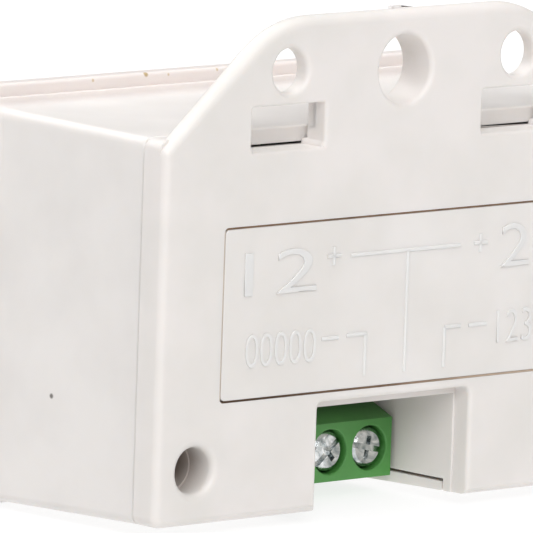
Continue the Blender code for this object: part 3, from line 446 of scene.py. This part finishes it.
# Terminal screws.
# Cheese-head steel screws with a slot and a cross, zinc plated and marked by the driver.
# Each was left at its own angle, so their slots don't line up.
screw_steel = plated_steel("driven_zinc_screws", "#FBFCFC", "#8C9799", 0.16, 900.0)
slot_angles = {1: 15.0, 2: 40.0, 3: -12.0}
for number, turn in slot_angles.items():
    name = "terminal_screw_%d" % number
    low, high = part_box(name)
    axis = Matrix.Translation(((low[0] + high[0]) / 2, 0.0, (low[2] + high[2]) / 2))
    screw = new_piece("turned_" + name, nodes[name].data.copy())
    screw.data.transform(axis @ Matrix.Rotation(math.radians(turn), 4, "Y") @ axis.inverted())
    dress(screw, screw_steel)
    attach(screw, name)
    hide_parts(name)

# Back cover.
# One ABS moulding: flange, holes, notch and battery bay in one. The seam walls round the battery
# cover are tinted tan and the deep screw holes browner with depth: painted shade in gap and bores.
cover_abs, tree, place, shader = white_abs("cover_white_abs", "#E3DEDB", "#DCD8D4", 0.42)
axes = axes_of(tree, place)
seam_half_width = 22.25 * mm
seam_half_height = 8.2 * mm
seam_middle = 20.55 * mm
body_foot = 1.15 * mm
corner_hole_x = 24.9 * mm
corner_hole_z = 5.1 * mm + body_foot


def past_seam(tree, axes, half_width, half_height):
    """How far a point lies outside a rectangle round the battery cover's middle."""
    across = math_node(tree, "SUBTRACT", math_node(tree, "ABSOLUTE", axes["X"]), half_width)
    above = math_node(tree, "ABSOLUTE", math_node(tree, "SUBTRACT", axes["Z"], seam_middle))
    return math_node(tree, "MAXIMUM", across, math_node(tree, "SUBTRACT", above, half_height))


# Painted shade: the recess walls just inside the seam, below the face, are tinted tan.
seam_edge = math_node(tree, "ABSOLUTE", past_seam(tree, axes, seam_half_width, seam_half_height))
near_seam = ramp(tree, seam_edge, 0.09 * mm, 0.03 * mm)
below_face = ramp(tree, axes["Y"], cover_face - 0.02 * mm, cover_face - 0.2 * mm)
stain(tree, shader, math_node(tree, "MULTIPLY", near_seam, below_face), "#A08874")
# Painted shade: each corner hole's bore turns browner the deeper it goes.
for side in (-1, 1):
    bore = add_node(tree, "CombineXYZ", {"X": side * corner_hole_x, "Y": axes["Y"], "Z": corner_hole_z})
    off_axis = add_node(tree, "VectorMath", {0: place, 1: bore.outputs["Vector"]}, operation="DISTANCE")
    inside = ramp(tree, off_axis.outputs["Value"], 2.55 * mm, 2.4 * mm)
    depth = ramp(tree, axes["Y"], cover_face - 0.8 * mm, cover_face - 5.5 * mm, 0.75)
    stain(tree, shader, math_node(tree, "MULTIPLY", inside, depth), "#8B7566")
burr = (23.35 * mm, 14.7 * mm, 6.5 * mm)
stain(tree, shader, spot(tree, place, burr, 0.3 * mm, 0.7), "#8D8078")


def soften_hole(work, x, z, radius, new_radius, plain_rim, factor, end):
    """Resizes a round hole down to the end depth, and its rear rim's rounding by the factor."""
    for vertex in work.verts:
        depth = cover_face - vertex.co.y
        out = Vector((vertex.co.x - x, 0.0, vertex.co.z - z))
        if out.length > radius + plain_rim + 10 * hair or depth > end:
            continue
        swell = max(0.0, out.length - radius)
        if depth < plain_rim + hair:
            swell *= factor
            vertex.co.y = cover_face - depth * factor
        side = out.normalized() * (new_radius + swell)
        vertex.co.x = x + side.x
        vertex.co.z = z + side.z


def soften_edge(work, plain_rim, chosen, factor_at):
    """Enlarges an edge's rounding about the line where it meets the wall."""
    near = [v for v in work.verts if chosen(v.co) and cover_face - v.co.y < plain_rim + 2 * hair]
    wall_line = [Vector((v.co.x, 0.0, v.co.z)) for v in near
                 if abs(cover_face - v.co.y - plain_rim) < 2 * hair]
    for vertex in near:
        flat = Vector((vertex.co.x, 0.0, vertex.co.z))
        foot = min(wall_line, key=lambda point: (point - flat).length)
        if (flat - foot).length > plain_rim * 1.05:
            continue
        factor = factor_at(foot)
        depth = cover_face - vertex.co.y
        moved = foot + (flat - foot) * factor
        vertex.co = Vector((moved.x, cover_face - depth * factor, moved.z))


def flange_factor(foot):
    """The flange's edge grows softer over its first two millimetres."""
    share = max(0.0, min(1.0, (foot.z - 37.6 * mm) / (2.0 * mm)))
    return 1.0 + 0.55 * share


flange_hole_x = 14.5 * mm
flange_hole_z = 41.75 * mm + body_foot
middle_hole_z = 41.1 * mm + body_foot
flange_rim = 0.25 * mm
cover, work = moulding("rear_cover")
for side in (-1, 1):
    soften_hole(work, side * flange_hole_x, flange_hole_z, 2.25 * mm, 2.12 * mm, flange_rim, 2.2, 1.9 * mm)
    soften_hole(work, side * corner_hole_x, corner_hole_z, 2.3 * mm, 2.17 * mm, 0.5 * mm, 1.6, 3.2 * mm)
soften_hole(work, 0.0, middle_hole_z, 3.35 * mm, 3.27 * mm, flange_rim, 2.2, 4.3 * mm)
soften_edge(work, 0.8 * mm, lambda co: co.z > 36.6 * mm, flange_factor)

# The wider rims leave the flat back's old faces folded, so it is filled anew inside its outline.
# The fill is done in millimetres, as it takes points a few microns apart for one.
flat_back = [f for f in work.faces if all(abs(v.co.y - cover_face) < hair for v in f.verts)]
members = set(flat_back)
outline = [e for e in work.edges if sum(f in members for f in e.link_faces) == 1]
bmesh.ops.delete(work, geom=flat_back, context="FACES_ONLY")
spare = [e for e in work.edges if not e.link_faces]
bmesh.ops.delete(work, geom=spare, context="EDGES")
bmesh.ops.scale(work, vec=(1 / mm, 1 / mm, 1 / mm), verts=work.verts)
bmesh.ops.triangle_fill(work, use_beauty=True, use_dissolve=False, normal=(0.0, 1.0, 0.0),
                        edges=[e for e in outline if e.is_valid])
bmesh.ops.scale(work, vec=(mm, mm, mm), verts=work.verts)

window_near = 10.0 * mm
window_far = 19.15 * mm
window_floor = 34.75 * mm + body_foot
window_ceiling = 38.6 * mm + body_foot
window_rim = 0.15 * mm
window_edge = 0.3 * mm
soften_edge(work, window_rim, lambda co: (
    window_near - window_edge < abs(co.x) < window_far + window_edge
    and window_floor - window_edge < co.z < window_ceiling + window_edge), lambda foot: 2.4)

# Each window's sill lies a little lower and its sides end nearer the back than in the node.
# The notch's step lies nearer the back too, and the moulding gate's stub is narrower.
sill_drop = 0.35 * mm
plain_reveal = 3.1 * mm
reveal = 2.5 * mm
notch_half_width = 9.8 * mm
notch_top = 10.4 * mm + body_foot
notch_step = 2.6 * mm
notch_step_shift = 0.5 * mm
gate_foot = 46.75 * mm + body_foot
gate_shift = 0.9 * mm
for vertex in work.verts:
    across = abs(vertex.co.x)
    depth = cover_face - vertex.co.y
    in_window = window_near - 0.5 * mm < across < window_far + 0.5 * mm and depth < 4.7 * mm
    if in_window and window_floor - 0.4 * mm < vertex.co.z < window_floor + 0.02 * mm:
        vertex.co.z = min(vertex.co.z, window_floor) - sill_drop
    on_side = min(abs(across - window_near), abs(across - window_far)) < 0.03 * mm
    at_end = plain_reveal - 0.2 * mm < depth < plain_reveal + 0.1 * mm
    if on_side and at_end and window_floor - 0.5 * mm < vertex.co.z < 37.3 * mm:
        vertex.co.y += plain_reveal - reveal
    if across < notch_half_width and vertex.co.z < notch_top and abs(depth - notch_step) < 0.05 * mm:
        vertex.co.y += notch_step_shift
    if vertex.co.z > gate_foot:
        vertex.co.x = vertex.co.x * 0.6 + gate_shift

# A collar behind the flange carries each window's sides and ceiling to the full reveal.
collar_start = 1.5 * mm
collar_wall = 0.7 * mm
collar_foot = 36.0 * mm + body_foot
collar_top = window_ceiling + collar_wall
shy = 10 * hair
collar_walls = [
    (window_near - collar_wall, window_near - shy, collar_foot, collar_top),
    (window_far + shy, window_far + collar_wall, collar_foot, collar_top),
    (window_near - shy, window_far + shy, window_ceiling + shy, collar_top),
]
for side in (-1, 1):
    for low_x, high_x, low_z, high_z in collar_walls:
        middle = Vector((side * (low_x + high_x) / 2, cover_face - (collar_start + reveal) / 2,
                         (low_z + high_z) / 2))
        size = Vector((high_x - low_x, reveal - collar_start, high_z - low_z))
        bmesh.ops.create_cube(work, size=1.0,
                              matrix=Matrix.Translation(middle) @ Matrix.Diagonal(size).to_4x4())
close_moulding(cover, work, cover_abs, "rear_cover")

# Seam shade.
# Painted shade: a tan ring set in the gap round the battery cover, held by the back cover's recess.
# It is painted dark brown along the top and the lower left, and pale along the left side, as the gap's
# shade falls.
seam_shade_width = 0.18 * mm
seam_shade_top = cover_face - 0.1 * mm
seam_shade_floor = cover_face - 0.5 * mm
turns = ((-1, -1), (1, -1), (1, 1), (-1, 1))
ring_points = []
for level in (seam_shade_top, seam_shade_floor):
    for inset in (10 * hair, seam_shade_width):
        for side, end in turns:
            ring_points.append((side * (seam_half_width - inset), level,
                                seam_middle + end * (seam_half_height - inset)))
ring_faces = []
for i in range(4):
    j = (i + 1) % 4
    ring_faces += [(i, j, 4 + j, 4 + i), (8 + i, 12 + i, 12 + j, 8 + j), (i, 8 + i, 8 + j, j),
                   (4 + i, 4 + j, 12 + j, 12 + i)]
ring_mesh = bpy.data.meshes.new("seam_painted_shade")
ring_mesh.from_pydata(ring_points, [], ring_faces)
ring = new_piece("seam_painted_shade", ring_mesh)
seam_shade_tint, tree, place = new_material("seam_painted_shade_tint")
axes = axes_of(tree, place)
seam_mottle = noise(tree, place, 260.0, 4.0)
shader = add_node(tree, "BsdfPrincipled", {
    "Base Color": two_tone(tree, seam_mottle, 0.35, "#7A5F4A", 0.65, "#AD927B"), "Roughness": 0.95})
high_up = ramp(tree, axes["Z"], seam_middle + 7.6 * mm, seam_middle + 8.1 * mm)
low_down = ramp(tree, axes["Z"], seam_middle - 7.6 * mm, seam_middle - 8.1 * mm)
seam_patches = ramp(tree, seam_mottle, 0.4, 0.6, 0.8)
leftward = ramp(tree, axes["X"], -4.0 * mm, 16.0 * mm)
rightward = ramp(tree, axes["X"], 2.0 * mm, -14.0 * mm, 0.7)
# Painted shade: darker along the top and lower left, paler along the lower right and the +x end.
stain(tree, shader, math_node(tree, "MULTIPLY", high_up, seam_patches), "#57402F")
stain(tree, shader, math_node(tree, "MULTIPLY", low_down, leftward), "#4E3B2E")
stain(tree, shader, math_node(tree, "MULTIPLY", low_down, rightward), "#C9B7A6")
stain(tree, shader, ramp(tree, axes["X"], 21.9 * mm, 22.1 * mm, 0.8), "#CFC2B4")
close_material(tree, shader)
dress(ring, seam_shade_tint)
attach(ring, "case")

# Cover screws.
# Two dark pan-head screws at the bottom of the corner holes hold the cover to the housing.
dark_steel = plated_steel("dark_cover_screws", "#6C6862", "#4E4A45", 0.38)
dress(nodes["cover_screw_left"], dark_steel)
dress(nodes["cover_screw_right"], dark_steel)

# Battery cell.
# A steel can in a plain dark sleeve with a copper-coloured band, its two ends bare.
# It rests in the bay, pressed by the spring against the positive contact.
sleeve, tree, place = new_material("plain_cell_sleeve")
axes = axes_of(tree, place)
rub = noise(tree, place, 1200.0, 3.0)
band = ramp(tree, axes["X"], 9.9 * mm, 10.0 * mm)
bare_end = math_node(tree, "MAXIMUM", ramp(tree, axes["X"], 16.0 * mm, 16.1 * mm),
                     ramp(tree, axes["X"], -12.45 * mm, -12.55 * mm))
shader = add_node(tree, "BsdfPrincipled", {
    "Base Color": two_tone(tree, rub, 0.3, "#22262B", 0.7, "#2C3137"), "Metallic": bare_end,
    "Roughness": 0.32, "Normal": bump(tree, rub, 0.2, 0.02 * mm)})
stain(tree, shader, band, "#A5683B")
stain(tree, shader, bare_end, "#C4C3BE")
close_material(tree, shader)
dress(nodes["battery_cell"], sleeve)

# Battery cover.
# A flat ABS lid with the wiring diagram raised on it in half-round ribs. It drops into
# the back cover's recess, and its legs snap into the pockets beside the cell.
lid_abs, tree, place, shader = white_abs("lid_white_abs", "#E2DEDB", "#DCD8D4", 0.45)
axes = axes_of(tree, place)
# Painted shade: the lid's side edges below its face are tinted tan, where the gap's shade falls.
lid_edge = ramp(tree, past_seam(tree, axes, 22.0 * mm, 7.95 * mm), 0.0, 0.05 * mm)
below_face = ramp(tree, axes["Y"], cover_face - 0.04 * mm, cover_face - 0.2 * mm)
stain(tree, shader, math_node(tree, "MULTIPLY", lid_edge, below_face), "#A08874")
dress(nodes["battery_cover"], lid_abs)

lid_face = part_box("battery_cover")[1][1]
rib_radius = 0.2 * mm
rib_sink = 0.04 * mm
relief_foot = 1.25 * mm
strokes = [
    [(-6.3, 23.88), (7.73, 23.88)],
    [(1.0, 23.88), (1.0, 12.4)],
    [(-9.25, 23.98), (-7.53, 23.98)],
    [(-8.39, 24.84), (-8.39, 23.12)],
    [(9.45, 23.92), (11.17, 23.92)],
    [(10.31, 24.78), (10.31, 23.06)],
    [(-9.68, 16.23), (-7.53, 16.23)],
    [(-6.52, 16.34), (-3.94, 16.34)],
    [(-4.1, 16.34), (-4.1, 12.4)],
    [(6.03, 16.2), (8.1, 16.2)],
    [(6.03, 16.2), (6.03, 12.42)],
    [(9.11, 16.16), (11.45, 16.16)],
]
diagram_curve = bpy.data.curves.new("wiring_diagram", "CURVE")
diagram_curve.dimensions = "3D"
diagram_curve.bevel_depth = rib_radius
diagram_curve.bevel_resolution = 3
diagram_curve.use_fill_caps = True
for stroke in strokes:
    line = diagram_curve.splines.new("POLY")
    line.points.add(len(stroke) - 1)
    for point, (across, height) in zip(line.points, stroke):
        point.co = (-across * mm, lid_face - rib_sink, height * mm + relief_foot, 1.0)
diagram = new_piece("wiring_diagram", diagram_curve)
# Painted highlight: the ribs and figures take a lighter, glossier copy of the lid's plastic, so the raised
# strokes read brighter.
highlit_relief_abs = white_abs("raised_rib_abs_painted_highlight", "#E5E2DF", "#E0DDDA", 0.36)[0]
dress(diagram, highlit_relief_abs)
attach(diagram, "battery_cover")


def raised_figures(name, figures, left, right, bottom, height):
    """Plain raised figures that fill a given width on the lid."""
    height_share = 0.7
    text = bpy.data.curves.new(name, "FONT")
    text.body = figures
    text.size = height / height_share
    text.extrude = 0.06 * mm
    text.bevel_depth = 0.04 * mm
    text.bevel_resolution = 2
    text.offset = -0.08 * mm
    piece = new_piece(name, text)
    bpy.context.view_layer.update()
    edges = [corner[0] for corner in piece.bound_box]
    stretch = (right - left) / (max(edges) - min(edges))
    piece.scale = (stretch, 1.0, 1.0)
    piece.rotation_euler = (math.radians(90), 0.0, math.radians(180))
    piece.location = (min(edges) * stretch - left, lid_face + 0.04 * mm, bottom + relief_foot)
    dress(piece, highlit_relief_abs)
    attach(piece, "battery_cover")


raised_figures("figures_upper_left", "12", -19.6 * mm, -10.6 * mm, 20.9 * mm, 4.2 * mm)
raised_figures("figures_upper_right", "23", 13.0 * mm, 20.6 * mm, 21.4 * mm, 4.2 * mm)
raised_figures("figures_lower_left", "00000", -19.2 * mm, -10.4 * mm, 14.2 * mm, 3.2 * mm)
raised_figures("figures_lower_right", "12345", 12.8 * mm, 21.0 * mm, 14.2 * mm, 3.2 * mm)

# Camera, at the photograph's viewpoint.
camera_data = bpy.data.cameras.new("camera")
camera = new_piece("camera", camera_data)
camera.location = (0.7222, 0.7845, 0.1724)
camera.rotation_euler = [math.radians(a) for a in (81.949, -1.896, 137.764)]
camera_data.lens = 769.4
camera_data.sensor_width = 36.0
camera_data.clip_end = 20.0
scene.camera = camera

# Studio: a white floor, a dim room and three large soft lights.
scene.view_settings.view_transform = "Standard"
world = bpy.data.worlds.new("studio")
scene.world = world
world.use_nodes = True
room_light = world.node_tree.nodes["Background"].inputs
room_light["Color"].default_value = linear("#FFFFFF")
room_light["Strength"].default_value = 0.11
floor_reach = 3.0
floor_mesh = bpy.data.meshes.new("studio_floor")
floor_mesh.from_pydata([(side * floor_reach, end * floor_reach, 0.0) for side, end in turns], [],
                       [(0, 1, 2, 3)])
floor = new_piece("studio_floor", floor_mesh)
floor_paint, tree = new_material("studio_floor")[:2]
shader = add_node(tree, "BsdfPrincipled", {
    "Base Color": linear("#7C7C7C"), "Roughness": 0.9, "Emission Color": linear("#FFFFFF"),
    "Emission Strength": 0.8})
close_material(tree, shader)
dress(floor, floor_paint)


def soft_light(name, strength, spread, from_place):
    """A wide distant light, as even as a large diffuser's."""
    data = bpy.data.lights.new(name, "SUN")
    data.energy = strength
    data.angle = math.radians(spread)
    lamp = new_piece(name, data)
    lamp.location = from_place
    lamp.rotation_euler = (-Vector(from_place)).to_track_quat("-Z", "Y").to_euler()


soft_light("key_diffuser", 1.82, 35.0, (0.68, 1.05, 0.85))
soft_light("top_diffuser", 2.0, 70.0, (0.05, 0.05, 1.2))
soft_light("front_diffuser", 1.1, 50.0, (0.15, -0.65, 0.85))
